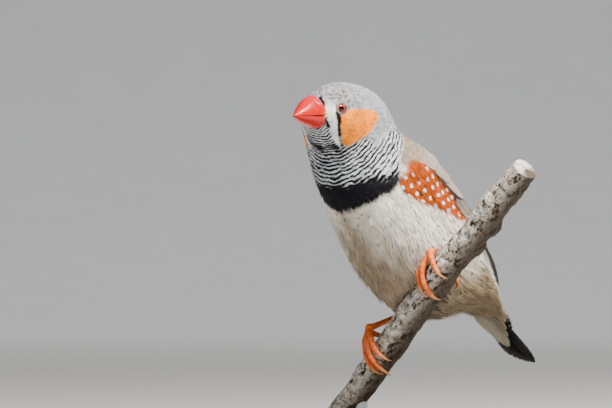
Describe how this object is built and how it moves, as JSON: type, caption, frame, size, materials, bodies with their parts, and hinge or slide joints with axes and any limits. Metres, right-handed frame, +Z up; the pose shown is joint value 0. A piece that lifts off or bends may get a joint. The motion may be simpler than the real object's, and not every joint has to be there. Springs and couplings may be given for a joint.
{
  "type": "zebra finch model on a display stand",
  "caption": "Small perching songbird with a stout cone bill, folded wings and short tail, gripping a slanting cut branch held over a flat base by two short rods.",
  "frame": {"origin": "centre of the stand base's underside", "axes": "+Z up; the bird's breast faces -Y and its left side is towards +X; the branch rises towards +X"},
  "size_m": [0.092, 0.0948, 0.0992],
  "materials": {
    "grey_plumage": "soft feathers",
    "throat_plumage": "soft feathers, barred",
    "belly_plumage": "soft feathers",
    "rump_plumage": "soft feathers",
    "wing_plumage": "smooth feathers",
    "tail_plumage": "smooth feathers",
    "thigh_plumage": "soft feathers",
    "bill": "horn, half gloss",
    "eye": "wet gloss",
    "leg": "scaled skin",
    "claw": "horn",
    "bark": "rough bark",
    "stand": "matt black paint",
    "rod": "brushed"
  },
  "bodies": {
    "root": {"head": "grey_plumage", "neck": "throat_plumage", "torso": "belly_plumage", "rump": "rump_plumage", "tail": "tail_plumage", "wing_left": "wing_plumage", "wing_right": "wing_plumage", "thigh_left": "thigh_plumage", "thigh_right": "thigh_plumage", "bill_upper": "bill", "bill_lower": "bill", "eye_left": "eye", "eye_right": "eye", "shank_left": "leg", "shank_right": "leg", "foot_left": "leg", "foot_right": "leg", "claw_hind_left": "claw", "claw_hind_right": "claw", "claw_inner_left": "claw", "claw_inner_right": "claw", "claw_middle_left": "claw", "claw_middle_right": "claw", "claw_outer_left": "claw", "claw_outer_right": "claw", "perch": "bark", "stand_base": "stand", "stand_rod_1": "rod", "stand_rod_2": "rod"}
  },
  "joints": []
}
